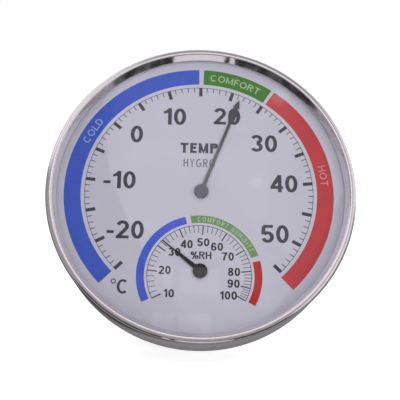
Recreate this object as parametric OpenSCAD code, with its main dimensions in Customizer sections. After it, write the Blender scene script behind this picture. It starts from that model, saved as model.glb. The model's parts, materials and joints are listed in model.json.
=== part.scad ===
// Round dial thermometer and hygrometer, for a wall or a desk.
// Every module works in the dial frame: the printed face is the plane z = 0, +z points at the
// reader, +y points at the top of the dial and the temperature pointer turns about the z axis.
// placed() then leans the whole instrument back on its fold-out stand, with the floor at z = 0.

/* [Case] */
// Radius of the bezel at its back edge
case_r = 65.2; // [65:0.1:65.6]
// Largest radius of the bezel, at its rounded shoulder
rim_r = 66.1; // [66:0.1:66.4]
// Height of the bezel's crest above the dial face
crest_z = 5.4; // [5.2:0.1:5.8]
// Depth of the back edge behind the dial face
back_z = 20.1; // [20:0.1:24]
// Radius of the window inside the bezel
window_r = 61.5; // [61:0.1:61.6]
// Rounding of the bezel's outer shoulder
lip_round = 2.2; // [2:0.1:2.4]
// Rounding of the crest where the lip starts to slope in
lip_inner = 0.5; // [0.4:0.05:0.5]
// Clear radius inside the bezel's wall
bezel_bore_r = 64; // [63.9:0.1:64.2]
// Thickness of the bezel's rolled back edge
roll_t = 0.7; // [0.6:0.1:1]
// Wall thickness of the plastic case
case_wall = 2; // [1.6:0.1:2.4]
// Lean of the instrument on its stand, in degrees from upright
lean = 28; // [27:1:30]

/* [Dial and window] */
// Thickness of the dial plate
dial_t = 0.8; // [0.5:0.1:1]
// Gap between the dial face and the window
window_gap = 1.5; // [1.5:0.1:1.9]
// Thickness of the window
lens_t = 1; // [0.8:0.1:1]
// Width of the spacer ring between dial and window
spacer_w = 2.1; // [1.5:0.1:2.1]

/* [Pointers] */
// Distance of the hygrometer's axis below the thermometer's
hygro_drop = 35; // [34.5:0.5:36]
// Length of the temperature pointer from its axis to its tip
thermo_reach = 46.3; // [44:0.1:47]
// Length of the humidity pointer from its axis to its tip
hygro_reach = 20.7; // [19:0.1:21.5]
// Radius of a pointer's hub
hub_r = 3.1; // [2.8:0.1:3.3]
// Angle of the temperature pointer, clockwise from the top
thermo_rest = 20.7; // [-135:0.1:135]
// Angle of the humidity pointer, clockwise from the top
hygro_rest = -51; // [-116.5:0.5:117.5]

/* [Movements] */
// Radius of an arbor
arbor_r = 0.8; // [0.7:0.05:0.9]
// Running clearance of an arbor in its bush, on the radius
running_gap = 0.03; // [0.02:0.01:0.05]
// Outer radius of the temperature coil
thermo_coil_r = 10.5; // [10:0.1:11]
// Outer radius of the humidity coil
hygro_coil_r = 8.5; // [8:0.1:9]
// Turns in each coil
coil_turns = 6; // [4:1:7]
// Width of a coil's strip, along the arbor
coil_w = 3.6; // [3:0.1:3.8]

/* [Stand] */
// Height of the stand's hinge above the dial centre
hinge_y = 20; // [20:0.5:24]
// Width of the stand
leg_w = 34; // [30:1:34]
// Thickness of the stand
leg_t = 3; // [2.8:0.1:3]
// Distance from the hinge to the middle of the foot
leg_len = 77.8; // [77.2:0.1:78]
// Radius of the stand's hinge pin
hinge_pin_r = 0.75; // [0.7:0.05:0.8]
// Radius of the finger notch in the end of the stand
notch_r = 6; // [5:0.1:6]

/* [Wall hanger] */
// Radius of the keyhole's round part, for a screw head
key_head_r = 4; // [3.5:0.1:4.5]
// Half the width of the keyhole's neck, for a screw shank
key_neck_r = 2; // [1.8:0.1:2.2]
// Height of the keyhole's round part above the dial centre
key_y = 38; // [36:1:40]
// Length of the keyhole's neck, centre to centre
key_run = 7; // [6:1:8]

/* [Hidden] */
$fn = 96;
eps = 0.01;
chrome = [0.80, 0.80, 0.82];
brass = [0.78, 0.62, 0.32];
steel = [0.66, 0.67, 0.70];
case_grey = [0.16, 0.16, 0.17];

// The stack of round pieces, from the front to the back
lens_top = window_gap + lens_t;
stack_r = bezel_bore_r - 0.3;
shoulder_r = rim_r - lip_round;
shoulder_z = crest_z - lip_round;
edge_bevel = 0.6;
window_edge = 0.1;
lip_slope = 52;
case_back = back_z - roll_t;
case_out_r = bezel_bore_r - 0.2;
case_in_r = case_out_r - case_wall;
roll_r = case_in_r + 0.4;

// The movements hang from two bridges behind the dial
bridge_t = 1.2;
bridge_z = -2.4;
post_x = 22.5;
post_r = 2.6;
post_top = bridge_z - bridge_t;
screw_r = 1;
screw_head_r = 1.9;
screw_head_t = 1.2;
screw_len = 8;
bush_r = 2.2;
bush_end = -8.5;
bush_flange_r = 3.4;
bush_flange_t = 0.8;
adjuster_top = post_top - 0.2;
adjuster_t = 1;
adjuster_ring_r = 4.6;
adjuster_gap = 0.05;
clip_t = 0.6;
collet_r = 2.4;
collet_top = -9.2;
coil_top = collet_top - 0.2;
coil_gap = 0.08;
stud_r = 0.9;
thermo_tab = [-25, 13];
hygro_tab = [-23.5, 10.5];
access_r = 2.2;
thermo_stud_angle = 210;
hygro_stud_angle = 300;

// The pointers lie in the gap between the dial face and the window
blade_z = 0.4;
blade_t = 0.35;
hub_t = 0.85;
arbor_tip = blade_z + 0.6;

// The stand folds flat into a shallow recess in the rear cover
hinge_z = case_back - leg_t / 2 - 0.1;
hinge_to_roof = leg_t / 2 + 0.3;
recess_z = hinge_z - hinge_to_roof;
recess_roof = 1.6;
recess_gap = 0.4;
corner_r = 3;
hinge_hole_r = hinge_pin_r + 0.05;
hinge_boss_w = 5;
hinge_boss_h = 4.8;
pin_half = leg_w / 2 + recess_gap + hinge_boss_w - 0.9;

// Where the leaning instrument meets the floor
floor_drop = case_r * cos(lean) + (back_z - edge_bevel) * sin(lean);
front_y = -shoulder_r * sin(lean) - shoulder_z * cos(lean) - lip_round;
rear_y = (case_r - edge_bevel) * sin(lean) + back_z * cos(lean);
mid_y = (front_y + rear_y) / 2;
hinge_height = floor_drop + hinge_y * cos(lean) - hinge_z * sin(lean);
leg_slope = acos(hinge_height / leg_len);
leg_open = lean + leg_slope;
leg_end = leg_len + leg_t / 2 * tan(leg_slope);
heel = (hinge_to_roof - 0.05 - leg_t / 2 * cos(leg_open)) / sin(leg_open);

// ---- Frames ----

// From the dial frame to the instrument standing on its stand
module placed() {
    translate([0, -mid_y, floor_drop]) rotate([90 - lean, 0, 0]) children();
}

// To the hygrometer's own axis
module at_hygro() {
    translate([0, -hygro_drop, 0]) children();
}

// A flat plate of the given outline, from z_low up by t
module slab(z_low, t) {
    translate([0, 0, z_low]) linear_extrude(height = t) children();
}

// ---- Case ----

// Points along an arc, from angle a0 to angle a1
function arc(centre, r, a0, a1, steps) = [
    for (i = [0 : steps])
        let (a = a0 + (a1 - a0) * i / steps) centre + r * [cos(a), sin(a)]
];

// Half section of the bezel: a lip that slopes down to the window, a round shoulder, a side wall
// that draws in a little to the back, and a back edge rolled in behind the case
module bezel_section() {
    polygon(concat(
        [[window_r, lens_top], [window_r, lens_top + window_edge]],
        arc([shoulder_r, crest_z - lip_inner], lip_inner, 90 + lip_slope, 90, 6),
        arc([shoulder_r, shoulder_z], lip_round, 85, 0, 12),
        [[case_r, edge_bevel - back_z], [case_r - edge_bevel, -back_z]],
        [[roll_r, -back_z], [roll_r, -case_back]],
        [[bezel_bore_r, -case_back], [bezel_bore_r, lens_top]]
    ));
}

module front_bezel() {
    color(chrome) placed() rotate_extrude($fn = 180) bezel_section();
}

module lens() {
    color([0.85, 0.90, 0.94, 0.35]) placed() slab(window_gap, lens_t) circle(r = stack_r);
}

module spacer_ring() {
    color([0.86, 0.86, 0.88]) placed() slab(0, window_gap) difference() {
        circle(r = stack_r);
        circle(r = stack_r - spacer_w);
    }
}

module dial_plate() {
    color([0.88, 0.88, 0.91]) placed() slab(-dial_t, dial_t) difference() {
        circle(r = stack_r);
        circle(r = arbor_r * 2);
        at_hygro() circle(r = arbor_r * 2);
    }
}

// Outline of the keyhole that hooks over a wall screw
module keyhole_outline() {
    translate([0, key_y]) circle(r = key_head_r);
    translate([-key_neck_r, key_y]) square([2 * key_neck_r, key_run]);
    translate([0, key_y + key_run]) circle(r = key_neck_r);
}

// Slots that let the room's air reach the coils
module vent_outline() {
    for (side = [-1, 1]) for (i = [0 : 3])
        translate([side * (34 + 5 * i) - 1, 2 * i - 10]) square([2, 38 - 4 * i]);
}

// Rectangle along the stand, with round corners at its foot, grown all round by extra
module stand_outline(top, half, length, corner) {
    translate([-half, -length + corner]) square([2 * half, top + length - corner]);
    translate([corner - half, -length]) square([2 * (half - corner), top + length]);
    for (side = [-1, 1]) translate([side * (half - corner), corner - length]) circle(r = corner);
}

module recess_outline(extra) {
    translate([0, hinge_y]) stand_outline(
        leg_t / 2 + 0.3 + extra,
        leg_w / 2 + recess_gap + extra,
        leg_end + recess_gap + extra,
        corner_r
    );
}

module at_hinge() {
    translate([0, hinge_y, -hinge_z]) children();
}

module hinge_bosses() {
    for (side = [-1, 1])
        translate([side * (leg_w / 2 + recess_gap + hinge_boss_w / 2), hinge_y, -case_back])
            translate([0, 0, hinge_boss_h / 2]) cube([hinge_boss_w, 7, hinge_boss_h], center = true);
}

// Centres of the four standoffs that carry the two bridges
post_places = [for (side = [-1, 1]) for (drop = [0, hygro_drop]) [side * post_x, -drop]];

// Holes in the back for the screwdriver that turns each adjuster's tab
module access_outline() {
    translate(thermo_tab) circle(r = access_r);
    translate(hygro_tab - [0, hygro_drop]) circle(r = access_r);
}

module case_ring() {
    color(case_grey) placed() slab(case_wall - case_back, case_back - case_wall - dial_t)
        difference() {
            circle(r = case_out_r);
            circle(r = case_in_r);
        }
}

module rear_cover() {
    color(case_grey) placed() difference() {
        union() {
            slab(-case_back, case_wall) circle(r = case_out_r);
            slab(-case_back, case_back - recess_z + recess_roof) intersection() {
                recess_outline(recess_roof);
                circle(r = case_in_r - 0.2);
            }
            hinge_bosses();
        }
        slab(-case_back - eps, case_back - recess_z + eps) recess_outline(0);
        slab(-case_back - eps, case_wall + 2 * eps) union() {
            keyhole_outline();
            vent_outline();
            access_outline();
        }
        at_hinge() rotate([0, 90, 0])
            cylinder(r = hinge_pin_r + 0.01, h = 2 * pin_half + 0.2, center = true, $fn = 32);
    }
}

// Threaded pillars that stand on the rear cover
module standoffs() {
    low = case_wall - case_back;
    color(brass) placed() for (place = post_places) translate([place[0], place[1], 0]) difference() {
        translate([0, 0, low]) cylinder(r = post_r, h = post_top - low);
        translate([0, 0, post_top - screw_len])
            cylinder(r = screw_r + 0.02, h = screw_len + eps, $fn = 32);
    }
}

// ---- Movements ----

// Strap that carries one movement, with a screw at each end
module bridge(reach, width) {
    slab(post_top, bridge_t) difference() {
        union() {
            square([2 * reach, width], center = true);
            circle(r = width * 0.7);
            for (side = [-1, 1]) translate([side * reach, 0]) circle(r = width / 2);
        }
        circle(r = bush_r + 0.01);
        for (side = [-1, 1]) translate([side * reach, 0]) circle(r = screw_r + 0.15);
    }
}

module thermo_bridge() {
    color(steel) placed() bridge(post_x, 9);
}

module hygro_bridge() {
    color(steel) placed() at_hygro() bridge(post_x, 8);
}

// Pan-head screw with a slot, standing on the plane z = 0
module bridge_screw() {
    difference() {
        union() {
            cylinder(r = screw_head_r, h = screw_head_t, $fn = 48);
            translate([0, 0, 0.5 - screw_len]) cylinder(r = screw_r, h = screw_len - 0.5, $fn = 32);
        }
        translate([-screw_head_r - eps, -0.25, screw_head_t - 0.5])
            cube([2 * screw_head_r + 2 * eps, 0.5, 0.5 + eps]);
    }
}

module bridge_screws() {
    color([0.72, 0.72, 0.74]) placed() for (place = post_places)
        translate([place[0], place[1], bridge_z]) bridge_screw();
}

// Flanged bush, pressed through the bridge, that an arbor runs in
module bush() {
    difference() {
        union() {
            translate([0, 0, bridge_z]) cylinder(r = bush_flange_r, h = bush_flange_t);
            translate([0, 0, bush_end]) cylinder(r = bush_r, h = bridge_z - bush_end);
        }
        translate([0, 0, bush_end - eps])
            cylinder(r = arbor_r + running_gap, h = bridge_z + bush_flange_t - bush_end + 2 * eps);
    }
}

module thermo_bush() {
    color(brass) placed() bush();
}

module hygro_bush() {
    color(brass) placed() at_hygro() bush();
}

// Spring clips that keep the adjusters on their bushes
module adjuster_clips() {
    color(steel) placed() for (drop = [0, hygro_drop]) translate([0, -drop, 0])
        slab(adjuster_top - adjuster_t - 0.1 - clip_t, clip_t) difference() {
            circle(r = 3.8);
            circle(r = bush_r + 0.01);
            translate([-0.8, 0]) square([1.6, 5]);
        }
}

// Plate that turns stiffly on the bush. One arm holds the coil's outer end, the other is its tab
module adjuster(stud_at, stud_angle, tab) {
    tab_angle = atan2(tab[1], tab[0]);
    slab(adjuster_top - adjuster_t, adjuster_t) difference() {
        union() {
            circle(r = adjuster_ring_r);
            rotate(stud_angle) translate([0, -1.6]) square([stud_at, 3.2]);
            rotate(stud_angle) translate([stud_at, 0]) circle(r = 1.6);
            rotate(tab_angle) translate([0, -1.5]) square([norm(tab), 3]);
            translate(tab) circle(r = 2);
        }
        circle(r = bush_r + adjuster_gap);
        rotate(stud_angle) translate([stud_at, 0]) circle(r = stud_r * 0.6 + 0.01);
        translate(tab) rotate(tab_angle) square([2.4, 0.7], center = true);
    }
}

// Distance from the axis at which a coil's outer end meets its stud
function stud_at(coil_r) = coil_r + stud_r + coil_gap;

module thermo_adjuster() {
    color(brass) placed() adjuster(stud_at(thermo_coil_r), thermo_stud_angle, thermo_tab);
}

module hygro_adjuster() {
    color(brass) placed() at_hygro()
        adjuster(stud_at(hygro_coil_r), hygro_stud_angle, hygro_tab);
}

// Stud that the outer end of a coil is fixed to, riveted into the adjuster
module coil_stud(stud_at, stud_angle) {
    rotate(stud_angle) translate([stud_at, 0, 0]) {
        translate([0, 0, coil_top - coil_w])
            cylinder(r = stud_r, h = coil_w + adjuster_top - adjuster_t - coil_top, $fn = 48);
        translate([0, 0, adjuster_top - adjuster_t]) cylinder(r = stud_r * 0.6, h = adjuster_t, $fn = 48);
    }
}

module thermo_coil_stud() {
    color(steel) placed() coil_stud(stud_at(thermo_coil_r), thermo_stud_angle);
}

module hygro_coil_stud() {
    color(steel) placed() at_hygro() coil_stud(stud_at(hygro_coil_r), hygro_stud_angle);
}

// Spiral strip that winds from the collet out to the stud, as one outline
function spiral(r_in, r_out, end_angle, steps) = [
    for (i = [0 : steps])
        let (s = i / steps, r = r_in + (r_out - r_in) * s, a = end_angle - 360 * coil_turns * (1 - s))
            [r * cos(a), r * sin(a)]
];

function backwards(list) = [for (i = [len(list) - 1 : -1 : 0]) list[i]];

module coil(coil_r, strip_t, end_angle) {
    inner = collet_r + coil_gap;
    steps = coil_turns * 28;
    slab(coil_top - coil_w, coil_w) polygon(concat(
        spiral(inner, coil_r - strip_t, end_angle, steps),
        backwards(spiral(inner + strip_t, coil_r, end_angle, steps))
    ));
}

module thermo_coil() {
    color([0.70, 0.66, 0.58]) placed() coil(thermo_coil_r, 0.3, thermo_stud_angle);
}

module hygro_coil() {
    color([0.62, 0.58, 0.50]) placed() at_hygro() coil(hygro_coil_r, 0.25, hygro_stud_angle);
}

// Collar on the tail of an arbor that the inner end of a coil is fixed to
module collet() {
    difference() {
        translate([0, 0, collet_top - coil_w - 0.4]) cylinder(r = collet_r, h = coil_w + 0.4);
        translate([0, 0, collet_top - coil_w - 1]) cylinder(r = arbor_r + 0.01, h = coil_w + 2);
    }
}

module thermo_collet() {
    color(brass) placed() collet();
}

module hygro_collet() {
    color(brass) placed() at_hygro() collet();
}

module arbor() {
    tail = collet_top - coil_w - 0.8;
    translate([0, 0, tail]) cylinder(r = arbor_r, h = arbor_tip - tail);
}

module thermo_arbor() {
    color(steel) placed() arbor();
}

module hygro_arbor() {
    color(steel) placed() at_hygro() arbor();
}

// ---- Pointers ----

// Hub of a pointer: a disc with a domed edge over a blind hole for the arbor
module pointer_hub() {
    edge = 0.4;
    difference() {
        union() {
            translate([0, 0, blade_z]) cylinder(r = hub_r, h = hub_t - edge);
            translate([0, 0, blade_z + hub_t - edge]) cylinder(r1 = hub_r, r2 = hub_r - edge, h = edge, $fn = 48);
        }
        translate([0, 0, blade_z - eps])
            cylinder(r = arbor_r + eps, h = arbor_tip - blade_z + 2 * eps);
    }
}

// Leaf between two mirrored arcs, from y = 0 to y = length
module leaf(length, width) {
    arc_r = (length * length / 4 + width * width / 4) / width;
    intersection_for (side = [-1, 1])
        translate([side * (arc_r - width / 2), length / 2]) circle(r = arc_r);
}

// Straight stem, then a slim leaf, then a small arrowhead at the tip
module thermo_blade() {
    stem = 1.25;
    leaf_y = thermo_reach - 13;
    head = 4;
    translate([-stem / 2, 0]) square([stem, leaf_y + 2]);
    translate([0, leaf_y]) leaf(10, 3.1);
    translate([-stem / 2, leaf_y + 7]) square([stem, 3]);
    translate([0, thermo_reach - head])
        polygon([[-1.45, 0], [0, 0.5], [1.45, 0], [0, head]]);
}

module thermo_pointer() {
    color([0.45, 0.45, 0.48]) placed() rotate(-thermo_rest) {
        pointer_hub();
        slab(blade_z, blade_t) difference() {
            thermo_blade();
            circle(r = hub_r - 0.5);
        }
    }
}

// Tapered bar for the first two thirds, then a thin needle
module hygro_blade() {
    bar = 13.4;
    polygon([
        [-1, 0], [1, 0], [0.6, bar - 0.6], [0.25, bar],
        [0.2, hygro_reach], [-0.2, hygro_reach], [-0.25, bar], [-0.6, bar - 0.6]
    ]);
}

module hygro_pointer() {
    color([0.14, 0.13, 0.14]) placed() at_hygro() rotate(-hygro_rest) {
        pointer_hub();
        slab(blade_z, blade_t) difference() {
            hygro_blade();
            circle(r = hub_r - 0.5);
        }
    }
}

// ---- Stand ----

// The leg lies along -y from its hinge. Its heel meets the recess's roof when it is open
module leg_folded() {
    difference() {
        union() {
            rotate([0, 90, 0]) cylinder(r = leg_t / 2, h = leg_w, center = true);
            translate([-leg_w / 2, 0, 0]) cube([leg_w, heel, leg_t / 2]);
            slab(-leg_t / 2, leg_t) difference() {
                stand_outline(0, leg_w / 2, leg_end, corner_r);
                translate([0, -leg_end]) circle(r = notch_r);
            }
        }
        rotate([0, 90, 0]) cylinder(r = hinge_hole_r, h = leg_w + 1, center = true, $fn = 32);
        slab(-leg_t / 2 - eps, 1) translate([0, -10])
            stand_outline(0, leg_w / 2 - 5, leg_end - 26, corner_r);
    }
}

module stand_leg() {
    color(case_grey) difference() {
        placed() at_hinge() rotate([leg_open, 0, 0]) leg_folded();
        translate([-50, -50, -20]) cube([100, 120, 20]);
    }
}

module stand_hinge_pin() {
    color(steel) placed() at_hinge() rotate([0, 90, 0])
        cylinder(r = hinge_pin_r, h = 2 * pin_half, center = true, $fn = 32);
}

front_bezel();
lens();
spacer_ring();
dial_plate();
case_ring();
rear_cover();
standoffs();
thermo_bridge();
hygro_bridge();
bridge_screws();
thermo_bush();
hygro_bush();
adjuster_clips();
thermo_adjuster();
hygro_adjuster();
thermo_coil_stud();
hygro_coil_stud();
thermo_coil();
hygro_coil();
thermo_collet();
hygro_collet();
thermo_arbor();
hygro_arbor();
thermo_pointer();
hygro_pointer();
stand_leg();
stand_hinge_pin();
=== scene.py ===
"""Looks of the dial thermometer and hygrometer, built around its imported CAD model.

Unless a name says otherwise, places here are in millimetres in the dial frame: the printed face is
the plane z = 0, +z points at the reader, +y at the top of the dial, and the temperature pointer
turns about the z axis. Angles on the dial are in degrees, clockwise from the top.
"""
import json
from math import atan2, cos, hypot, pi, radians, sin

import bmesh
import bpy
from mathutils import Matrix, Vector, geometry


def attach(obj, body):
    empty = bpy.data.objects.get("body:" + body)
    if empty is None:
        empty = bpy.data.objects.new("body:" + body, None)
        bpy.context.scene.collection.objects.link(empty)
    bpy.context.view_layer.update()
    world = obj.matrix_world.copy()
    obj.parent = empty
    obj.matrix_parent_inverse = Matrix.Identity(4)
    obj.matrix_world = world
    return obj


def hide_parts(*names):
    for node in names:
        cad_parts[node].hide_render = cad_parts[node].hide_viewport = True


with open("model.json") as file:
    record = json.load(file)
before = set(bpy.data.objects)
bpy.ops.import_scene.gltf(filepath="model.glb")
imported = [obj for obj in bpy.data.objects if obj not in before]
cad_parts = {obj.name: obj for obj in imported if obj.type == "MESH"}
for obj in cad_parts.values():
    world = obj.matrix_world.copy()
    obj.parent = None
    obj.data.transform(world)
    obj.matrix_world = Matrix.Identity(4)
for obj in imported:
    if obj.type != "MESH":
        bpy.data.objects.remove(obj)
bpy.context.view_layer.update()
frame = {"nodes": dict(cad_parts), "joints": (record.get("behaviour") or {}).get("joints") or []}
nodes = frame["nodes"]
MM = 0.001


# ---- The dial frame, from the pointers' joints ----

def joint(name):
    return next(j for j in frame["joints"] if j["name"] == name)


NORMAL = -Vector(joint("thermo_turn")["axis"]).normalized()
RIGHT = Vector((1, 0, 0))
UP = NORMAL.cross(RIGHT)
DIAL = Matrix.Translation(joint("thermo_turn")["pos_m"]) @ Matrix((RIGHT, UP, NORMAL)).transposed().to_4x4()
HYGRO_Y = (DIAL.inverted() @ Vector(joint("hygro_turn")["pos_m"])).y / MM


# The printing sits a little off the pointer's axis, towards the left
PRINTED = DIAL @ Matrix.Translation((-0.85 * MM, 0, 0))


def on_dial(angle, radius):
    """The point at an angle, clockwise from the top, and a radius."""
    return radius * sin(radians(angle)), radius * cos(radians(angle))


# ---- Materials ----

class Graph:
    """A node tree, with short calls for the nodes used here."""

    def __init__(self, tree):
        self.tree = tree

    def node(self, kind, **settings):
        made = self.tree.nodes.new(kind)
        for key, value in settings.items():
            setattr(made, key, value)
        return made

    def link(self, source, target):
        self.tree.links.new(source, target)

    def ramp(self, value, low, high, out_low=0.0, out_high=1.0):
        """A smooth step from out_low at low to out_high at high."""
        made = self.node("ShaderNodeMapRange", interpolation_type="SMOOTHSTEP")
        for socket, number in zip(made.inputs[1:5], (low, high, out_low, out_high)):
            socket.default_value = number
        self.link(value, made.inputs["Value"])
        return made.outputs["Result"]

    def math(self, operation, a, b=0.0):
        made = self.node("ShaderNodeMath", operation=operation)
        for socket, value in zip(made.inputs, (a, b)):
            if isinstance(value, (int, float)):
                socket.default_value = value
            else:
                self.link(value, socket)
        return made.outputs[0]


class Material(Graph):
    """A material built round one Principled shader, in the object's own coordinates."""

    def __init__(self, name):
        self.material = bpy.data.materials.new(name)
        self.material.use_nodes = True
        super().__init__(self.material.node_tree)
        self.shader = self.tree.nodes["Principled BSDF"]
        self.output = self.tree.nodes["Material Output"]
        self.place = self.node("ShaderNodeTexCoord").outputs["Object"]

    def set(self, **values):
        """Sets the shader's own sockets. Underscores in a name stand for spaces."""
        for key, value in values.items():
            self.shader.inputs[key.replace("_", " ")].default_value = value

    def stretched(self, scale):
        """Object coordinates scaled by one number or by three."""
        mapping = self.node("ShaderNodeMapping")
        mapping.inputs["Scale"].default_value = (scale,) * 3 if isinstance(scale, (int, float)) else scale
        self.link(self.place, mapping.inputs["Vector"])
        return mapping.outputs["Vector"]

    def noise(self, scale, detail=4.0, roughness=0.55):
        made = self.node("ShaderNodeTexNoise")
        made.inputs["Scale"].default_value = 1.0
        made.inputs["Detail"].default_value = detail
        made.inputs["Roughness"].default_value = roughness
        self.link(self.stretched(scale), made.inputs["Vector"])
        return made.outputs["Fac"]

    def mix(self, factor, a, b):
        """A colour between a and b, each a colour or a socket."""
        made = self.node("ShaderNodeMix", data_type="RGBA")
        self.link(factor, made.inputs[0])
        for socket, value in ((made.inputs[6], a), (made.inputs[7], b)):
            if isinstance(value, tuple):
                socket.default_value = (*value, 1)
            else:
                self.link(value, socket)
        return made.outputs[2]

    def edges(self):
        """1 along worn convex edges."""
        return self.ramp(self.node("ShaderNodeNewGeometry").outputs["Pointiness"], 0.51, 0.62)

    def colour(self, socket):
        self.link(socket, self.shader.inputs["Base Color"])

    def roughness(self, socket):
        self.link(socket, self.shader.inputs["Roughness"])

    def bump(self, height, distance, strength=1.0):
        made = self.node("ShaderNodeBump")
        made.inputs["Strength"].default_value = strength
        made.inputs["Distance"].default_value = distance
        self.link(height, made.inputs["Height"])
        self.link(made.outputs["Normal"], self.shader.inputs["Normal"])


def shade(colour, factor):
    return tuple(min(1.0, c * factor) for c in colour)


def metal(name, colour, rough, scratch=(4000, 200, 4000)):
    """A worked metal: cloudy colour, fine scratches along the smallest scratch scale, dull patches."""
    t = Material(name)
    t.set(Metallic=1.0)
    clouds = t.noise(900)
    scratches = t.noise(scratch, detail=2.0)
    t.colour(t.mix(t.ramp(clouds, 0.3, 0.7), shade(colour, 0.8), shade(colour, 1.08)))
    cloudy = t.ramp(clouds, 0.3, 0.75, rough * 0.8, rough * 1.2)
    t.roughness(t.math("ADD", cloudy, t.ramp(scratches, 0.55, 0.8, 0, 0.15)))
    t.bump(scratches, 0.00001, 0.35)
    return t.material


def plastic(name, colour, rough, wear=0.25):
    """Moulded plastic: fine spark-eroded texture, faint flow marks, paler worn edges."""
    t = Material(name)
    t.set(IOR=1.5)
    flow = t.noise(70, detail=3.0)
    pits = t.noise(2600, detail=3.0, roughness=0.7)
    base = t.mix(t.ramp(flow, 0.3, 0.7), shade(colour, 0.82), shade(colour, 1.15))
    worn = tuple(c + wear * (0.5 - c) for c in colour)
    rubbed = t.math("MULTIPLY", t.edges(), t.ramp(pits, 0.35, 0.6))
    t.colour(t.mix(rubbed, base, worn))
    t.roughness(t.ramp(t.math("ADD", flow, pits), 0.7, 1.3, rough - 0.07, rough + 0.08))
    t.bump(pits, 0.00004, 0.5)
    return t.material


def chrome():
    """Bright plating over moulded plastic, with slight waves and polishing haze."""
    t = Material("bezel_chrome")
    t.set(Metallic=1.0)
    waves = t.noise(60, detail=2.0)
    haze = t.noise(700, detail=5.0, roughness=0.65)
    fine = t.noise((5200, 5200, 900), detail=2.0)
    t.colour(t.mix(t.ramp(haze, 0.35, 0.7), (0.76, 0.72, 0.755), (0.82, 0.78, 0.815)))
    t.roughness(t.math("ADD", t.ramp(haze, 0.3, 0.75, 0.05, 0.11), t.ramp(fine, 0.55, 0.8, 0, 0.07)))
    t.bump(t.math("ADD", waves, t.math("MULTIPLY", fine, 0.01)), 0.00035, 0.5)
    return t.material


def paint(name, colour, rough, mottle):
    """Matt baked paint: faint mottling and a little orange peel."""
    t = Material(name)
    t.set(IOR=1.5, Specular_IOR_Level=0.15)
    clouds = t.noise(160, detail=4.0)
    grain = t.noise(900, detail=3.0)
    t.colour(t.mix(t.ramp(clouds, 0.3, 0.7), shade(colour, 1 - mottle), shade(colour, 1 + mottle)))
    t.roughness(t.ramp(grain, 0.3, 0.7, rough - 0.06, rough + 0.06))
    t.bump(grain, 0.00002, 0.3)
    return t.material


def ink(name, colour):
    """Screen-printed ink: dense with a faint weave of the screen."""
    t = Material(name)
    t.set(IOR=1.45, Specular_IOR_Level=0.15)
    screen = t.noise(2400, detail=2.0)
    patches = t.noise(220, detail=4.0)
    uneven = t.ramp(t.math("ADD", screen, patches), 0.75, 1.25)
    t.colour(t.mix(uneven, shade(colour, 0.93), shade(colour, 1.07)))
    t.roughness(t.ramp(screen, 0.3, 0.7, 0.44, 0.56))
    t.bump(screen, 0.000008, 0.3)
    return t.material


def clear_glass():
    """Coated clear window, less glossy than bare glass, with faint handling marks. Lamps shine through it."""
    t = Material("window_clear")
    t.set(Transmission_Weight=1.0, IOR=1.26, Base_Color=(0.985, 0.99, 1.0, 1))
    marks = t.noise((260, 180, 260), detail=5.0, roughness=0.7)
    t.roughness(t.ramp(marks, 0.55, 0.85, 0.0, 0.012))
    t.bump(t.noise(30, detail=0.0), 0.00001, 0.10)
    lamp_ray = t.node("ShaderNodeLightPath").outputs["Is Shadow Ray"]
    through = t.node("ShaderNodeBsdfTransparent")
    through.inputs["Color"].default_value = (0.96, 0.97, 0.98, 1)
    either = t.node("ShaderNodeMixShader")
    t.link(lamp_ray, either.inputs[0])
    t.link(t.shader.outputs[0], either.inputs[1])
    t.link(through.outputs[0], either.inputs[2])
    t.link(either.outputs[0], t.output.inputs["Surface"])
    return t.material


def pointer_paint(name, colour, tip_colour, reach, rough):
    """Matt paint on a pointer, whose shade changes from the hub's to the tip's. reach is in metres."""
    t = Material(name)
    t.set(IOR=1.35, Specular_IOR_Level=0.2)
    along = t.node("ShaderNodeVectorMath", operation="LENGTH")
    t.link(t.place, along.inputs[0])
    grain = t.noise(1800, detail=3.0)
    fade = t.ramp(along.outputs["Value"], reach * 0.15, reach * 0.8)
    base = t.mix(fade, colour, tip_colour)
    light = t.mix(fade, shade(colour, 1.15), shade(tip_colour, 1.3))
    t.colour(t.mix(t.ramp(grain, 0.3, 0.75), base, light))
    t.roughness(t.ramp(grain, 0.3, 0.7, rough - 0.06, rough + 0.08))
    t.bump(grain, 0.00001, 0.4)
    return t.material


BLACK_PLASTIC = (0.022, 0.022, 0.024)
STEEL = (0.62, 0.62, 0.64)
BRASS = (0.72, 0.52, 0.24)

CAD_MATERIALS = {
    "lens": clear_glass(),
    "spacer_ring": plastic("spacer_plastic", (0.56, 0.55, 0.60), 0.45, wear=0.0),
    "dial_plate": paint("dial_paint", (0.64, 0.62, 0.705), 0.42, mottle=0.012),
    "case_ring": plastic("case_plastic", BLACK_PLASTIC, 0.5),
    "rear_cover": plastic("cover_plastic", BLACK_PLASTIC, 0.55),
    "standoffs": metal("standoff_brass", BRASS, 0.3),
    "thermo_bridge": metal("bridge_steel", STEEL, 0.32, scratch=(300, 5000, 5000)),
    "bridge_screws": metal("screw_zinc", (0.70, 0.70, 0.68), 0.3),
    "thermo_bush": metal("bush_brass", BRASS, 0.24),
    "adjuster_clips": metal("clip_steel", (0.42, 0.42, 0.44), 0.35),
    "thermo_adjuster": metal("adjuster_brass", shade(BRASS, 0.95), 0.3, scratch=(300, 5000, 5000)),
    "thermo_coil_stud": metal("stud_steel", STEEL, 0.25),
    "thermo_coil": metal("bimetal", (0.56, 0.50, 0.42), 0.35, scratch=(400, 400, 6000)),
    "hygro_coil": metal("humidity_strip", (0.50, 0.44, 0.34), 0.4, scratch=(400, 400, 6000)),
    "thermo_collet": metal("collet_brass", BRASS, 0.26),
    "thermo_arbor": metal("arbor_steel", (0.66, 0.67, 0.70), 0.18),
    "stand_leg": plastic("stand_plastic", BLACK_PLASTIC, 0.5),
    "stand_hinge_pin": metal("pin_steel", STEEL, 0.22),
}
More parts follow.
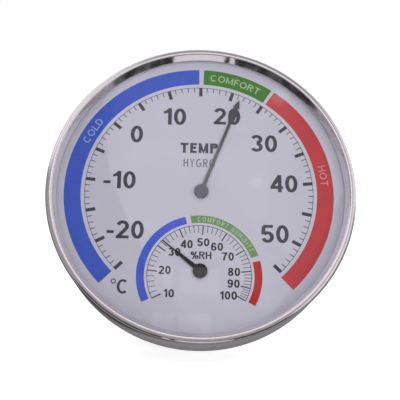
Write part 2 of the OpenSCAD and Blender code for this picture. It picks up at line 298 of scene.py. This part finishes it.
SAME_AS = {
    "hygro_bridge": "thermo_bridge",
    "hygro_bush": "thermo_bush",
    "hygro_adjuster": "thermo_adjuster",
    "hygro_coil_stud": "thermo_coil_stud",
    "hygro_collet": "thermo_collet",
    "hygro_arbor": "thermo_arbor",
}
# The radius that softens a moulded or stamped part's edges
ROUNDED = {
    "case_ring": 0.25, "rear_cover": 0.3, "stand_leg": 0.35,
    "thermo_bridge": 0.12, "hygro_bridge": 0.12, "bridge_screws": 0.12,
    "thermo_adjuster": 0.1, "hygro_adjuster": 0.1, "standoffs": 0.15,
}


def dress_cad_nodes():
    """Gives each CAD node its material, and the moulded and stamped ones softened edges."""
    for name, node in nodes.items():
        material = CAD_MATERIALS.get(SAME_AS.get(name, name))
        if material is None:
            continue
        node.data.materials.clear()
        node.data.materials.append(material)
        if name in ROUNDED:
            bevel = node.modifiers.new("edges", "BEVEL")
            bevel.width = ROUNDED[name] * MM
            bevel.segments = 2
            bevel.limit_method = "ANGLE"
            bevel.angle_limit = radians(40)
            bevel.harden_normals = True
    # The chrome mirrors the plain dial, without the window or the printing over it
    nodes["lens"].visible_glossy = False


dress_cad_nodes()


# ---- Mesh building ----

def add_piece(name, verts, faces, material, body, smooth_below=None, place=DIAL):
    """A piece with vertices in millimetres in its place's frame, riding on a body."""
    mesh = bpy.data.meshes.new(name)
    mesh.from_pydata([Vector(v) * MM for v in verts], [], faces)
    solid = bmesh.new()
    solid.from_mesh(mesh)
    bmesh.ops.remove_doubles(solid, verts=solid.verts, dist=1e-7)
    bmesh.ops.recalc_face_normals(solid, faces=solid.faces)
    solid.to_mesh(mesh)
    solid.free()
    if smooth_below is not None:
        mesh.shade_smooth()
        mesh.set_sharp_from_angle(angle=radians(smooth_below))
    mesh.materials.append(material)
    made = bpy.data.objects.new(name, mesh)
    bpy.context.scene.collection.objects.link(made)
    made.matrix_world = place
    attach(made, body)
    return made


def merge(parts):
    """Joins several (verts, faces) into one."""
    verts, faces = [], []
    for part_verts, part_faces in parts:
        start = len(verts)
        verts += part_verts
        faces += [tuple(i + start for i in f) for f in part_faces]
    return verts, faces


def spun(profile, segments):
    """Vertices of an outline of (radius, z) points, repeated round the z axis."""
    angles = [2 * pi * s / segments for s in range(segments)]
    return [(r * cos(angle), r * sin(angle), z) for angle in angles for r, z in profile]


def lathe(profile, segments):
    """A closed ring turned from a closed outline of (radius, z) points."""
    faces, count = [], len(profile)
    for s in range(segments):
        a, b = s * count, (s + 1) % segments * count
        faces += [(a + i, b + i, b + (i + 1) % count, a + (i + 1) % count) for i in range(count)]
    return spun(profile, segments), faces


def turned(profile, segments):
    """A solid turned from an open outline of (radius, z) points, closed by a flat cap at each end."""
    faces, count = [], len(profile)
    for s in range(segments):
        a, b = s * count, (s + 1) % segments * count
        faces += [(a + i, b + i, b + i + 1, a + i + 1) for i in range(count - 1)]
    faces.append(tuple(s * count for s in range(segments)))
    faces.append(tuple((segments - 1 - s) * count + count - 1 for s in range(segments)))
    return spun(profile, segments), faces


def arc(centre, radius, start, end, steps):
    """Points along an arc, angles in degrees anticlockwise from +x."""
    rx, ry = radius if isinstance(radius, tuple) else (radius, radius)
    angles = [radians(start + (end - start) * i / steps) for i in range(steps + 1)]
    return [(centre[0] + rx * cos(a), centre[1] + ry * sin(a)) for a in angles]


def plate(shapes, low, high):
    """A flat solid from z = low to z = high over the union of flat shapes, each a list of points."""
    points, shape_ids = [], []
    for shape in shapes:
        area = sum(a[0] * b[1] - b[0] * a[1] for a, b in zip(shape, shape[1:] + shape[:1]))
        ordered = shape if area > 0 else shape[::-1]
        shape_ids.append(list(range(len(points), len(points) + len(ordered))))
        points += [Vector(p) for p in ordered]
    flat, _, triangles, _, _, owners = geometry.delaunay_2d_cdt(points, [], shape_ids, 1, 1e-5)
    kept = [tuple(t) for t, owner in zip(triangles, owners) if owner]
    used = sorted({i for t in kept for i in t})
    index = {old: new for new, old in enumerate(used)}
    count = len(used)
    verts = [(flat[i][0], flat[i][1], z) for z in (low, high) for i in used]
    faces, borders = [], {}
    for t in kept:
        a, b, c = (index[i] for i in t)
        faces += [(a + count, b + count, c + count), (c, b, a)]
        for edge in ((a, b), (b, c), (c, a)):
            if edge[::-1] in borders:
                del borders[edge[::-1]]
            else:
                borders[edge] = True
    faces += [(a, b, b + count, a + count) for a, b in borders]
    return verts, faces


def shifted(shape, dx, dy, scale=1.0, turn=0.0):
    """A shape scaled, turned clockwise by turn degrees, then moved."""
    c, s = cos(radians(turn)), sin(radians(turn))
    return [(dx + scale * (x * c + y * s), dy + scale * (y * c - x * s)) for x, y in shape]


BAND_STEP = 1.5


def ring_part(inner, outer, start, end, centre_y=0.0):
    """Outline of a band between two radii and two clockwise angles."""
    count = max(2, round(abs(end - start) / BAND_STEP))
    angles = [start + (end - start) * i / count for i in range(count + 1)]
    edge = [on_dial(a, outer) for a in angles] + [on_dial(a, inner) for a in reversed(angles)]
    return [(x, y + centre_y) for x, y in edge]


def tick(angle, inner, outer, width, centre_y=0.0):
    """Outline of a straight tick that points at the scale's centre."""
    shape = [(-width / 2, inner), (width / 2, inner), (width / 2, outer), (-width / 2, outer)]
    return shifted(shape, 0, centre_y, turn=angle)


# ---- Lettering: each glyph is a set of strokes, with capitals 1 high ----

def stroke(points, stem, bar):
    """Four-sided pieces along a line of points. Upright stretches are stem wide and level ones bar wide."""
    pieces, sides = [], []
    closed = hypot(points[0][0] - points[-1][0], points[0][1] - points[-1][1]) < 1e-6
    line = points[:-1] if closed else points
    count = len(line)
    for i, point in enumerate(line):
        here = Vector(point)
        into = here - Vector(line[i - 1]) if closed or i else None
        out = Vector(line[(i + 1) % count]) - here if closed or i < count - 1 else None
        into, out = (into or out).normalized(), (out or into).normalized()
        along = (into + out).normalized()
        width = bar + (stem - bar) * abs(along.y)
        across = Vector((-along.y, along.x)) * width / 2 / max(0.6, along.dot(out))
        x, y = point
        sides.append(((x + across.x, y + across.y), (x - across.x, y - across.y)))
    if closed:
        sides.append(sides[0])
    for (a, b), (c, d) in zip(sides, sides[1:]):
        pieces.append([a, c, d, b])
    return pieces


def glyph(letter, stem, bar, wide=1.0):
    """(pieces, width) of a letter or digit. wide scales its width, not its strokes."""
    s, b = stem / 2, bar / 2
    lines, flag = [], None
    width = {"1": 0.42, "I": 0.0, "M": 0.78, "-": 0.36, "°": 0.30, "%": 0.86, "O": 0.78, "C": 0.72,
             "G": 0.76, "E": 0.54, "F": 0.52, "L": 0.50, " ": 0.25}.get(letter, 0.64) * wide
    if letter in "I":
        width = stem
    left, right, middle = s, width - s, width / 2
    top, bottom = 1 - b, b
    if letter == "0":
        lines.append(arc((middle, 0.5), (middle - s, 0.5 - b), 0, 360, 28))
    elif letter == "1":
        lines.append([(width - s, 0), (width - s, 1)])
        flag = [(0, 0.66), (width - s, 0.74), (width - s, 1),
                (width - stem * 0.9, 1), (width - stem * 1.5, 0.86), (0, 0.81)]
    elif letter == "2":
        bowl = arc((middle, 0.69), (middle - s, 0.31 - b), 165, -35, 16)
        lines.append(bowl + [(left * 1.15, bottom + 0.02)])
        lines.append([(0, bottom), (width, bottom)])
    elif letter == "3":
        lines.append(arc((middle, 0.735), (middle - s * 1.15, 0.265 - b), 160, -90, 16))
        lines.append(arc((middle, 0.28), (middle - s, 0.28 - b), 90, -160, 18))
    elif letter == "4":
        post = width * 0.74
        lines.append([(post, 0), (post, 1)])
        lines.append([(0, 0.27), (width, 0.27)])
        flag = [(post, 1), (post - s, 1), (0, 0.34), (0, 0.27), (stem * 0.9, 0.27), (post, 0.74)]
    elif letter == "5":
        lines.append([(left * 1.1, top), (width * 0.93, top)])
        lines.append([(left * 1.35, top), (left * 1.0, 0.46)])
        lines.append(arc((middle, 0.32), (middle - s, 0.32 - b), 140, -160, 20))
    elif letter in "69":
        lines.append(arc((middle, 0.31), (middle - s, 0.31 - b), 0, 360, 24))
        lines.append(arc((middle * 1.08, 0.5), (middle * 1.08 - s, 0.5 - b), 195, 35, 16))
    elif letter == "7":
        lines.append([(0, top), (width, top)])
        lines.append([(right, top), (width * 0.55, 0.55), (width * 0.36, 0)])
    elif letter == "8":
        lines.append(arc((middle, 0.745), (middle - s * 1.25, 0.255 - b), 0, 360, 22))
        lines.append(arc((middle, 0.275), (middle - s, 0.275 - b), 0, 360, 24))
    elif letter == "-":
        lines.append([(0, 0.36), (width, 0.36)])
    elif letter == "°":
        lines.append(arc((middle, 0.86), 0.145, 0, 360, 18))
        stem, bar = 0.075, 0.075
    elif letter == "%":
        lines.append(arc((width * 0.22, 0.75), (width * 0.22 - b, 0.25 - b), 0, 360, 16))
        lines.append(arc((width * 0.78, 0.25), (width * 0.22 - b, 0.25 - b), 0, 360, 16))
        lines.append([(width * 0.28, 0), (width * 0.72, 1)])
    elif letter in "CG":
        lines.append(arc((middle, 0.5), (middle - s, 0.5 - b), 48, 312, 24))
        if letter == "G":
            lines.append([(middle, 0.46), (right, 0.46), (right, 0.08)])
    elif letter == "O":
        lines.append(arc((middle, 0.5), (middle - s, 0.5 - b), 0, 360, 28))
    elif letter == "D":
        lines.append([(left, 0), (left, 1)])
        bowl = arc((width * 0.45, 0.5), (width * 0.55 - s, 0.5 - b), 90, -90, 16)
        lines.append([(left, top)] + bowl + [(left, bottom)])
    elif letter in "EFL":
        lines.append([(left, 0), (left, 1)])
        if letter in "EL":
            lines.append([(left, bottom), (width, bottom)])
        if letter in "EF":
            lines.append([(left, top), (width, top)])
            lines.append([(left, 0.53), (width * 0.9, 0.53)])
    elif letter == "H":
        lines += [[(left, 0), (left, 1)], [(right, 0), (right, 1)], [(left, 0.52), (right, 0.52)]]
    elif letter == "I":
        lines.append([(left, 0), (left, 1)])
    elif letter == "M":
        lines += [[(left, 0), (left, 1)], [(right, 0), (right, 1)]]
        lines.append([(left, 0.94), (middle, 0.12), (right, 0.94)])
    elif letter in "RP":
        lines.append([(left, 0), (left, 1)])
        bowl = arc((width * 0.56, 0.745), (width * 0.44 - s, 0.255 - b), 90, -90, 12)
        lines.append([(left, top)] + bowl + [(left, 0.49 + b)])
        if letter == "R":
            lines.append([(width * 0.5, 0.5), (right, 0.0)])
    elif letter == "T":
        lines += [[(middle, 0), (middle, 1)], [(0, top), (width, top)]]
    elif letter == "U":
        lines.append([(left, 1)] + arc((middle, 0.32), (middle - s, 0.32 - b), 180, 360, 16) + [(right, 1)])
    elif letter == "Y":
        lines += [[(left, 1), (middle, 0.42), (right, 1)], [(middle, 0), (middle, 0.45)]]
    pieces = [p for line in lines for p in stroke(line, stem, bar)] + ([flag] if flag else [])
    if letter == "9":
        pieces = [[(width - x, 1 - y) for x, y in p] for p in pieces]
    return pieces, width


def straight_text(text, x, y, height, stem, bar, gap, wide=1.0):
    """Pieces of a line of text, centred on (x, y)."""
    glyphs = [glyph(letter, stem, bar, wide) for letter in text]
    total = sum(width for _, width in glyphs) + gap * (len(text) - 1)
    made, at = [], -total / 2
    for pieces, width in glyphs:
        made += [shifted(p, x + height * at, y - height / 2, height) for p in pieces]
        at += width + gap
    return made


def arc_text(text, angle, radius, height, stem, bar, gap, wide=1.0, centre_y=0.0):
    """Pieces of a text along an arc, with its middle at an angle, its feet towards the centre."""
    glyphs = [glyph(letter, stem, bar, wide) for letter in text]
    total = sum(width for _, width in glyphs) + gap * (len(text) - 1)
    made, at = [], -total / 2
    for pieces, width in glyphs:
        turn = angle + (at + width / 2) * height / radius * 180 / pi
        x, y = on_dial(turn, radius - height / 2)
        for p in pieces:
            centred = [(px - width / 2, py) for px, py in p]
            made.append(shifted(centred, x, y + centre_y, height, turn))
        at += width + gap
    return made


# ---- Printed dial ----

SCALE_R = 49.0
SCALE_LINE = 0.12  # half the scale line's width
BAND_IN = 50.7
BAND_OUT = 57.9
DEG_PER_C = 270 / 80
# Heights of the printing, whose pieces start just inside the dial
PRINT_LOW = -0.01
BAND_TOP = 0.03
WORD_TOP = 0.05

BLUE = (0.040, 0.104, 0.585)
LIGHT_BLUE = (0.056, 0.114, 0.640)
GREEN = (0.050, 0.205, 0.014)
RED = (0.590, 0.052, 0.062)
DEEP_RED = (0.500, 0.012, 0.008)
PALE_GREEN = (0.165, 0.310, 0.115)
BLACK = (0.022, 0.020, 0.026)
DARK = (0.050, 0.048, 0.062)
GREY = (0.115, 0.110, 0.135)

INKS = {
    "blue": ink("ink_blue", BLUE),
    "light_blue": ink("ink_light_blue", LIGHT_BLUE),
    "green": ink("ink_green", GREEN),
    "pale_green": ink("ink_pale_green", PALE_GREEN),
    "red": ink("ink_red", RED),
    "deep_red": ink("ink_deep_red", DEEP_RED),
    "black": ink("ink_black", BLACK),
    "dark": ink("ink_dark", DARK),
    "grey": ink("ink_grey", GREY),
    "tint_blue": ink("ink_tint_blue", (0.33, 0.45, 0.80)),
    "tint_green": ink("ink_tint_green", (0.42, 0.60, 0.33)),
    "tint_red": ink("ink_tint_red", (0.72, 0.30, 0.31)),
}


def print_piece(name, colour, shapes, top=BAND_TOP, place=PRINTED):
    """One printed piece from shapes that may touch or overlap. The chrome mirrors a plain dial instead."""
    verts, faces = plate(shapes, PRINT_LOW, top)
    made = add_piece(name, verts, faces, INKS[colour], "case", place=place)
    made.visible_glossy = made.visible_shadow = made.visible_diffuse = False


def celsius_angle(value):
    return -135 + DEG_PER_C * (value + 25)


# Each temperature with the radius and angle of its number, which keep it clear of the ticks
THERMO_NUMBERS = (
    (-20, 35.6, -119.7), (-10, 34.6, -82.3), (0, 38.0, -46.8), (10, 36.6, -17.9),
    (20, 37.4, 18.3), (30, 36.2, 50.5), (40, 36.8, 82.9), (50, 37.1, 119.3),
)


def print_thermometer():
    print_piece("band_cold", "blue", [ring_part(BAND_IN, BAND_OUT, -135, -0.8)])
    print_piece("band_comfort", "green", [ring_part(BAND_IN, BAND_OUT, 1.3, 33)])
    print_piece("band_hot", "red", [ring_part(BAND_IN, BAND_OUT, 34.5, 136.8)])
    word = dict(radius=54.3, height=3.2, stem=0.15, bar=0.14, gap=0.19, wide=1.24)
    print_piece("word_cold", "tint_blue", arc_text("COLD", -60, **word), WORD_TOP)
    print_piece("word_comfort", "tint_green", arc_text("COMFORT", 16.6, **word), WORD_TOP)
    print_piece("word_hot", "tint_red", arc_text("HOT", 81, **word), WORD_TOP)
    majors = [tick(celsius_angle(t), 44.9, SCALE_R, 1.5) for t in range(-25, 56, 5)]
    line = [ring_part(SCALE_R - SCALE_LINE, SCALE_R + SCALE_LINE, -135.9, 135.9)]
    print_piece("thermo_major_ticks", "dark", majors + line)
    minors = [tick(celsius_angle(t), 46.9, SCALE_R - SCALE_LINE, 0.42) for t in range(-25, 56) if t % 5]
    print_piece("thermo_minor_ticks", "grey", minors)
    numbers = []
    for value, radius, angle in THERMO_NUMBERS:
        x, y = on_dial(angle, radius)
        numbers += straight_text(str(value), x, y, 7.9, 0.205, 0.165, 0.12, 1.06)
    numbers += straight_text("°C", -32.2, -42.2, 6.1, 0.18, 0.15, 0.08, 1.12)
    print_piece("thermo_numbers", "dark", numbers)


def print_titles():
    print_piece("title_thermo", "dark", straight_text("TEMP", -0.3, 20.1, 4.7, 0.27, 0.23, 0.16, 1.16))
    print_piece("title_hygro", "grey", straight_text("HYGRO", -0.2, 13.1, 3.8, 0.12, 0.11, 0.20, 0.80))


# Each humidity with the angles of its tick and of its number. The scale isn't even, as on any
# instrument whose pointer is turned by a humidity strip
HYGRO_MARKS = (
    (10, -116.8, -121.5), (20, -84.8, -81.4), (30, -54.4, -46.5), (40, -23.4, -22.0), (50, 3.6, 5.8),
    (60, 31.3, 29.9), (70, 58.8, 54.2), (80, 83.8, 82.2), (90, 103.1, 101.9), (100, 117.8, 123.5),
)
HYGRO_R = 21.8
HYGRO_LINE = 0.13  # half the scale line's width
HYGRO_NUMBER_R = 14.6
HYGRO_BAND_IN = 23.0
HYGRO_BAND_OUT = 26.3
# The small scale's centre is a little under its pointer's axis, and to the right of the rest of the printing
HYGRO_CENTRE = HYGRO_Y - 2.0
HYGRO_PRINTED = PRINTED @ Matrix.Translation((0.6 * MM, 0, 0))


def print_hygrometer():
    def show(name, colour, shapes, top=BAND_TOP):
        print_piece(name, colour, shapes, top, HYGRO_PRINTED)

    def band(name, colour, start, end):
        show(name, colour, [ring_part(HYGRO_BAND_IN, HYGRO_BAND_OUT, start, end, HYGRO_CENTRE)])

    band("band_dry", "light_blue", -116, -13.8)
    band("band_good", "pale_green", -9, 69.5)
    band("band_damp", "deep_red", 74.4, 117.8)
    words = arc_text("COMFORT HUMIDITY", 30.5, 24.65, 2.1, 0.17, 0.16, 0.30, 0.95, HYGRO_CENTRE)
    show("word_good", "tint_green", words, WORD_TOP)
    majors = [tick(a, 17.7, HYGRO_R, 0.5, HYGRO_CENTRE) for _, a, _ in HYGRO_MARKS]
    line = [ring_part(HYGRO_R - HYGRO_LINE, HYGRO_R + HYGRO_LINE, -117.4, 118.4, HYGRO_CENTRE)]
    show("hygro_major_ticks", "black", majors + line)
    minors = []
    for (_, start, _), (_, end, _) in zip(HYGRO_MARKS, HYGRO_MARKS[1:]):
        angles = [start + (end - start) * i / 5 for i in range(1, 5)]
        minors += [tick(a, 18.7, HYGRO_R - HYGRO_LINE, 0.32, HYGRO_CENTRE) for a in angles]
    show("hygro_minor_ticks", "grey", minors)
    numbers = []
    for value, _, angle in HYGRO_MARKS:
        x, y = on_dial(angle, HYGRO_NUMBER_R)
        numbers += straight_text(str(value), x, y + HYGRO_CENTRE, 3.5, 0.215, 0.17, 0.12, 1.04)
    show("hygro_numbers", "black", numbers)
    show("hygro_unit", "black", straight_text("%RH", 0.6, -28.2, 3.2, 0.19, 0.15, 0.10, 1.18))


print_thermometer()
print_titles()
print_hygrometer()


# ---- Chromed bezel ----

def build_bezel():
    """The bezel's full section at a finer step, with a softer crest inside the CAD ring's outline.

    Its mesh has the world's axes, so that its box is exact."""
    crest_r, bore_r, window_z = 63.9, 64.0, 2.5
    outline = [(61.5, window_z), (61.5, 2.6)]
    outline += arc((crest_r, 4.4), 1.0, 146, 90, 20)
    outline += arc((crest_r, 3.2), 2.2, 88, 0, 40)
    outline += [(65.2, -19.4), (65.16, -19.52), (64.62, -20.06), (64.5, -20.1)]
    outline += [(62.3, -20.1), (62.2, -20.0), (62.2, -19.4), (bore_r, -19.4), (bore_r, window_z)]
    verts, faces = lathe(outline, 360)
    leaning = DIAL.to_3x3()
    verts = [leaning @ Vector(v) for v in verts]
    level = Matrix.Translation(DIAL.translation)
    bezel = add_piece("bezel", verts, faces, chrome(), "case", 32, level)
    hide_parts("front_bezel")


build_bezel()


# ---- Pointers ----

BLADE_LOW = 0.4
BLADE_HIGH = 0.75
HUB_TOP = 1.25
HUB_R = 3.1
THERMO_REST = 20.7
HYGRO_REST = -51.0


def hub():
    """A turned cap with a rounded edge and a shallow dished top, closed flat underneath."""
    edge = 0.3
    outline = [(0.85, BLADE_LOW), (HUB_R, BLADE_LOW)]
    outline += arc((HUB_R - edge, HUB_TOP - edge), edge, 0, 90, 8)
    outline += [(1.3, HUB_TOP - 0.02), (0.9, HUB_TOP - 0.05), (0.4, HUB_TOP - 0.06)]
    return turned(outline, 96)


def rest_place(centre_y, angle):
    """The frame of a pointer at its rest angle, with its own +y towards its tip."""
    return DIAL @ Matrix.Translation((0, centre_y * MM, 0)) @ Matrix.Rotation(-radians(angle), 4, "Z")


def build_pointer(name, shapes, angle, centre_y, material, body, cad_node):
    blade = plate(shapes, BLADE_LOW, BLADE_HIGH)
    verts, faces = merge([blade, hub()])
    made = add_piece(name, verts, faces, material, body, 35, rest_place(centre_y, angle))
    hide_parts(cad_node)


def build_thermo_pointer():
    tip, stem = 46.3, 0.60
    leaf = arc((0, 38.4), (1.5, 4.6), 0, 360, 36)[:-1]
    shapes = [
        [(-0.78, 2.2), (0.78, 2.2), (stem, 36.0), (stem, 42.6), (-stem, 42.6), (-stem, 36.0)],
        leaf,
        [(-1.45, 42.3), (0, 42.8), (1.45, 42.3), (0, tip)],
    ]
    paint_it = pointer_paint("pointer_grey", (0.138, 0.136, 0.150), (0.056, 0.055, 0.064), tip * MM, 0.42)
    build_pointer("temperature_pointer", shapes, THERMO_REST, 0, paint_it,
                  "thermo_spindle", "thermo_pointer")


def build_hygro_pointer():
    tip, bar = 20.7, 13.4
    right_edge = [(1.0, 2.0), (0.6, bar - 0.6), (0.25, bar), (0.2, tip)]
    shapes = [[(-1.0, 2.0)] + right_edge + [(-x, y) for x, y in reversed(right_edge[1:])]]
    paint_it = pointer_paint("pointer_black", (0.012, 0.010, 0.011), (0.016, 0.014, 0.016), tip * MM, 0.55)
    build_pointer("humidity_pointer", shapes, HYGRO_REST, HYGRO_Y, paint_it,
                  "hygro_spindle", "hygro_pointer")


build_thermo_pointer()
build_hygro_pointer()


# ---- Floor, light and camera ----

def build_floor():
    """A wide pale floor. It isn't mirrored in the chrome, which shows the studio instead."""
    mesh = bpy.data.meshes.new("floor")
    half = 6.0
    corners = [(-half, -half, 0), (half, -half, 0), (half, half, 0), (-half, half, 0)]
    mesh.from_pydata(corners, [], [(0, 1, 2, 3)])
    t = Material("floor_white")
    t.set(Roughness=0.9, Emission_Strength=0.8, Emission_Color=(1, 1, 1, 1))
    t.colour(t.mix(t.ramp(t.noise(6), 0.3, 0.7), (0.84, 0.84, 0.84), (0.87, 0.87, 0.87)))
    mesh.materials.append(t.material)
    floor = bpy.data.objects.new("floor", mesh)
    bpy.context.scene.collection.objects.link(floor)
    floor.visible_glossy = False
    floor.visible_diffuse = False


def build_studio():
    """The room as mirrors see it, in the dial frame's own directions, and plain white elsewhere.

    a and b say where a direction meets a wall in front of the dial: across and up, over distance."""
    world = bpy.data.worlds.new("studio")
    bpy.context.scene.world = world
    world.use_nodes = True
    world.node_tree.nodes.clear()
    g = Graph(world.node_tree)

    def along(axis):
        made = g.node("ShaderNodeVectorMath", operation="DOT_PRODUCT")
        g.link(direction, made.inputs[0])
        made.inputs[1].default_value = axis
        return made.outputs["Value"]

    def both(*masks):
        """1 where every mask is 1."""
        product = masks[0]
        for mask in masks[1:]:
            product = g.math("MULTIPLY", product, mask)
        return product

    def window(u, v, left, right, low, high, soft):
        """1 inside a soft-edged rectangle."""
        sides = both(g.ramp(u, left - soft, left), g.ramp(u, right + soft, right))
        ends = both(g.ramp(v, low - soft, low), g.ramp(v, high + soft, high))
        return both(sides, ends)

    def distance(u, v, centre_u, centre_v):
        du, dv = g.math("SUBTRACT", u, centre_u), g.math("SUBTRACT", v, centre_v)
        return g.math("SQRT", g.math("ADD", g.math("POWER", du, 2.0), g.math("POWER", dv, 2.0)))

    def blend(under, over, mask):
        """under, or over where the mask is 1."""
        kept = g.math("MULTIPLY", under, g.math("SUBTRACT", 1.0, mask))
        return g.math("ADD", kept, g.math("MULTIPLY", mask, over))

    def background(colour, strength=1.0):
        made = g.node("ShaderNodeBackground")
        made.inputs["Color"].default_value = (*colour, 1)
        made.inputs["Strength"].default_value = strength
        return made

    def choose(ray, otherwise, chosen):
        """One shader, or another on rays of a kind."""
        made = g.node("ShaderNodeMixShader")
        g.link(rays.outputs[ray], made.inputs[0])
        g.link(otherwise, made.inputs[1])
        g.link(chosen, made.inputs[2])
        return made.outputs[0]

    direction = g.node("ShaderNodeTexCoord").outputs["Generated"]
    across, upward, outward = along(RIGHT), along(UP), along(NORMAL)
    front = g.ramp(outward, 0.0, 0.15)
    depth = g.math("MAXIMUM", outward, 0.05)
    a, b = g.math("DIVIDE", across, depth), g.math("DIVIDE", upward, depth)

    # The room behind and above the reader, brighter to both sides
    room = g.ramp(outward, -0.6, 0.25, 0.24, 0.38)
    room = blend(room, 0.38, g.ramp(upward, 0.5, 0.95))
    left_side = both(g.ramp(across, -0.10, -0.45), g.ramp(upward, 0.36, 0.52))
    beside = g.math("MAXIMUM", left_side, g.ramp(across, 0.42, 0.85))
    not_below = g.math("MAXIMUM", g.ramp(upward, 0.12, 0.30), g.ramp(outward, 0.15, 0.32))
    room = blend(room, 0.95, both(beside, not_below))
    behind_left = both(g.ramp(across, -0.10, -0.17), g.ramp(outward, -0.45, -0.70))
    room = blend(room, 0.05, behind_left)

    # A bright cloth round the camera, with a window's slanted patch and a lamp in it
    room = blend(room, 0.80, both(front, g.ramp(distance(a, b, 0.0, 0.35), 0.75, 0.30)))
    patch = both(front, window(a, b, -0.06, 0.10, 0.20, 0.41, 0.012))
    slant = g.math("ADD", b, g.math("MAXIMUM", g.math("SUBTRACT", a, 0.02), 0.0))
    room = blend(room, 1.9, both(patch, g.ramp(slant, 0.285, 0.303)))
    room = blend(room, 6.0, both(front, g.ramp(distance(a, b, 0.092, 0.363), 0.012, 0.002)))

    # Three small panes lower down, which the window mirrors at the dial's foot
    for left, right in ((-0.029, -0.0207), (-0.0167, -0.0084), (0.0016, 0.0353)):
        room = blend(room, 3.6, both(front, window(a, b, left, right, 0.176, 0.197, 0.003)))

    # The dark, cluttered table in front of the instrument, with white things on it
    low_front = both(g.ramp(outward, -0.05, 0.02), g.ramp(outward, 0.60, 0.40))
    table = g.math("ADD", upward, g.math("MULTIPLY", across, 0.133))
    clutter = g.node("ShaderNodeTexNoise")
    clutter.inputs["Scale"].default_value = 9.0
    clutter.inputs["Detail"].default_value = 2.0
    g.link(direction, clutter.inputs["Vector"])
    dark = g.ramp(clutter.outputs["Fac"], 0.50, 0.66, 0.03, 0.13)
    room = blend(room, dark, both(g.ramp(table, -0.48, -0.56), low_front))
    block = window(across, upward, -0.165, 0.285, -1.2, -0.925, 0.012)
    small = window(across, upward, -0.27, -0.225, -1.2, -0.92, 0.01)
    room = blend(room, 0.80, both(low_front, g.math("MAXIMUM", block, small)))

    rays = g.node("ShaderNodeLightPath")
    mirrored = background((1.0, 0.965, 0.99))
    g.link(room, mirrored.inputs["Strength"])
    plain = background((0.98, 0.98, 1.0), 0.24)
    white = background((1, 1, 1))
    unseen = choose("Is Glossy Ray", plain.outputs[0], mirrored.outputs[0])
    surface = choose("Is Camera Ray", unseen, white.outputs[0])
    g.link(surface, g.node("ShaderNodeOutputWorld").inputs["Surface"])


def add_light(name, place, aim, size, watts):
    """A soft round or oblong light, in metres in the world frame. Mirrors don't show it."""
    data = bpy.data.lights.new(name, "AREA")
    if isinstance(size, tuple):
        data.shape = "RECTANGLE"
        data.size, data.size_y = size
    else:
        data.shape = "DISK"
        data.size = size
    data.energy = watts
    lamp = bpy.data.objects.new(name, data)
    lamp.location = place
    lamp.rotation_mode = "QUATERNION"
    lamp.rotation_quaternion = (Vector(aim) - Vector(place)).to_track_quat("-Z", "Y")
    lamp.visible_glossy = False
    lamp.visible_transmission = False
    lamp.visible_camera = False
    bpy.context.scene.collection.objects.link(lamp)


def build_camera():
    """Looks up at the dial's middle from a little below its axis."""
    place = Vector((-8.35, -122.7, 352.1))
    aim = Vector((-0.45, -3.7, 0.0))
    back = (place - aim).normalized()
    level = Vector((0, 1, 0)).cross(back).normalized()
    roll = radians(0.93)
    side = level * cos(roll) + back.cross(level) * sin(roll)
    turn = Matrix((side, back.cross(side), back)).transposed().to_4x4()
    data = bpy.data.cameras.new("camera")
    data.sensor_width = 36.0
    data.lens = 78.2
    data.clip_start, data.clip_end = 0.01, 50.0
    camera = bpy.data.objects.new("camera", data)
    camera.matrix_world = DIAL @ Matrix.Translation(place * MM) @ turn
    bpy.context.scene.collection.objects.link(camera)
    bpy.context.scene.camera = camera


build_floor()
build_studio()
MIDDLE = (0, 0, 0.06)
add_light("key", (0.18, -0.10, 0.66), MIDDLE, 0.5, 0.4)
# A strip close over the dial's upper half, which leaves its foot a little darker
add_light("near", DIAL @ Vector((0.012, 0.034, 0.14)), DIAL @ Vector((0.012, 0.034, 0)), (0.4, 0.07), 0.170)
add_light("fill", (0.7, -0.5, 0.45), MIDDLE, 0.6, 0.5)
add_light("back", (0.2, 0.8, 0.7), MIDDLE, 0.7, 2.6)
build_camera()
bpy.context.scene.view_settings.view_transform = "Standard"
